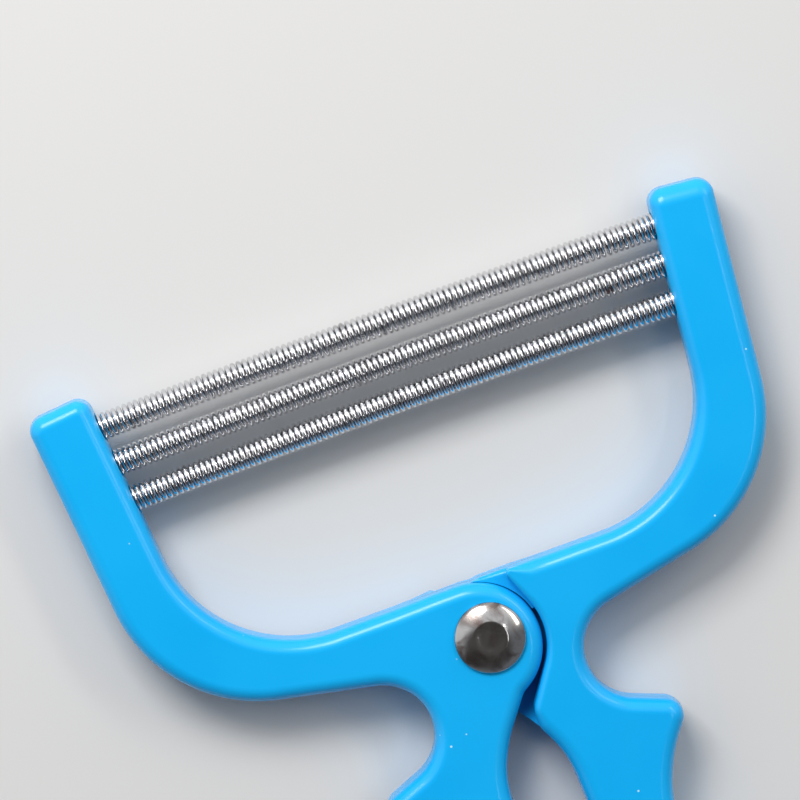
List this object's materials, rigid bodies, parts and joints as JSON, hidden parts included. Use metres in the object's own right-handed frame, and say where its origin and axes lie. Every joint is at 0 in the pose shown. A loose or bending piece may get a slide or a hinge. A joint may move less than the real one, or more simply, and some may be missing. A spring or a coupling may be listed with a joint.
{
  "type": "facial hair removal spring tool",
  "caption": "Hand-held facial hair remover: curved plastic plier arms on a domed rivet, with parallel coil springs stretched between their tip bars.",
  "frame": {"origin": "where the pivot axis meets the surface that the rivet's back head rests on", "axes": "+Y from the handles to the spring tips, +Z along the pivot axis out of the front, +X to the right seen from the front"},
  "size_m": [0.1232, 0.1495, 0.0135],
  "materials": {
    "arm_plastic": "glossy moulded plastic, sky blue",
    "cover_plastic": "glossy moulded plastic, sky blue",
    "spring_steel": "bright drawn steel wire",
    "rivet_steel": "polished steel, lightly marked",
    "pin_steel": "plain drawn steel"
  },
  "bodies": {
    "left_half": {"left_arm": "arm_plastic", "rivet_cap": "rivet_steel", "rivet_post": "rivet_steel", "left_anchor_pin": "pin_steel", "left_cover": "cover_plastic", "spring_top": "spring_steel", "spring_middle": "spring_steel", "spring_bottom": "spring_steel"},
    "right_half": {"right_arm": "arm_plastic", "right_anchor_pin": "pin_steel", "right_cover": "cover_plastic"}
  },
  "joints": [
    {"name": "squeeze", "type": "hinge", "parent": "left_half", "child": "right_half", "pos_m": [0, 0, 0.00655], "axis": [0, 0, -1], "range_deg": [0, 13], "stiffness_Nm_per_rad": 0.8, "deforming": ["spring_top", "spring_middle", "spring_bottom"]}
  ]
}
